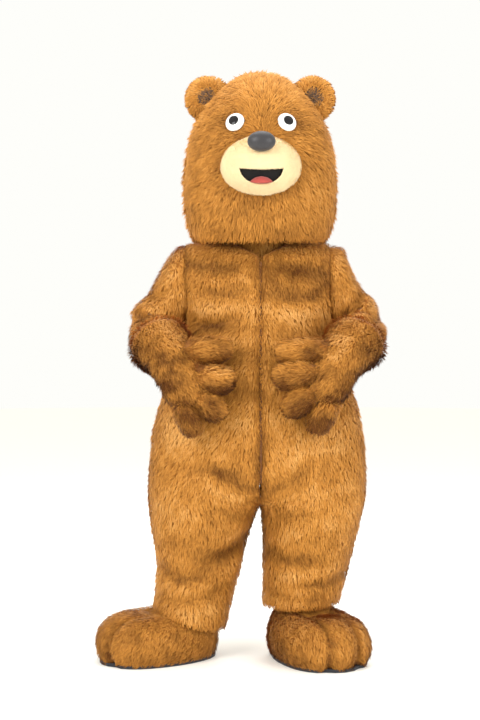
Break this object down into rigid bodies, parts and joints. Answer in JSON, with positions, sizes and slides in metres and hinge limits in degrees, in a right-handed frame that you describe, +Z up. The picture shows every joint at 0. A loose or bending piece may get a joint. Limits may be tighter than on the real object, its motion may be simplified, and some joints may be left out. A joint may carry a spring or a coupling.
{
  "type": "bear mascot costume",
  "caption": "Hollow bear mascot costume in long brown faux fur, posed as worn: suit with a front zip, big head with a cream muzzle, gloves and wide shoe covers.",
  "frame": {"origin": "between the tops of the wearer's shoulders, which carry the suit; the floor is 1.4 m below", "axes": "+Z up, the costume faces -Y, +X towards the wearer's left"},
  "size_m": [0.9706, 0.595, 1.963],
  "materials": {
    "suit_fur": "long brown faux fur",
    "head_fur": "long brown faux fur over foam",
    "glove_fur": "long brown faux fur",
    "shoe_fur": "long brown faux fur",
    "inner_ear_fur": "short dark brown faux fur",
    "muzzle_fleece": "short cream fleece over foam",
    "black_mesh": "black mesh cloth",
    "tongue_felt": "matte red felt",
    "nose_foam": "dark coated foam with a soft shine",
    "eye_white": "white gloss",
    "pupil_black": "black gloss",
    "sole_rubber": "dark grey matte",
    "zip_brown": "brown coil"
  },
  "bodies": {
    "root": {"back_left": "suit_fur", "back_right": "suit_fur", "ear_left": "head_fur", "ear_left_lining": "inner_ear_fur", "ear_right": "head_fur", "ear_right_lining": "inner_ear_fur", "eye_left": "eye_white", "eye_right": "eye_white", "front_left": "suit_fur", "front_right": "suit_fur", "glove_left_finger_1": "glove_fur", "glove_left_finger_2": "glove_fur", "glove_left_finger_3": "glove_fur", "glove_left_hand": "glove_fur", "glove_left_thumb": "glove_fur", "glove_right_finger_1": "glove_fur", "glove_right_finger_2": "glove_fur", "glove_right_finger_3": "glove_fur", "glove_right_hand": "glove_fur", "glove_right_thumb": "glove_fur", "head_back": "head_fur", "head_front": "head_fur", "mouth_mesh": "black_mesh", "muzzle": "muzzle_fleece", "neck_tube": "suit_fur", "nose": "nose_foam", "pupil_left": "pupil_black", "pupil_right": "pupil_black", "shoe_left_sole": "sole_rubber", "shoe_left_upper": "shoe_fur", "shoe_right_sole": "sole_rubber", "shoe_right_upper": "shoe_fur", "sleeve_left": "suit_fur", "sleeve_right": "suit_fur", "tongue": "tongue_felt", "zip": "zip_brown", "zip_slider": "zip_brown"}
  },
  "joints": []
}
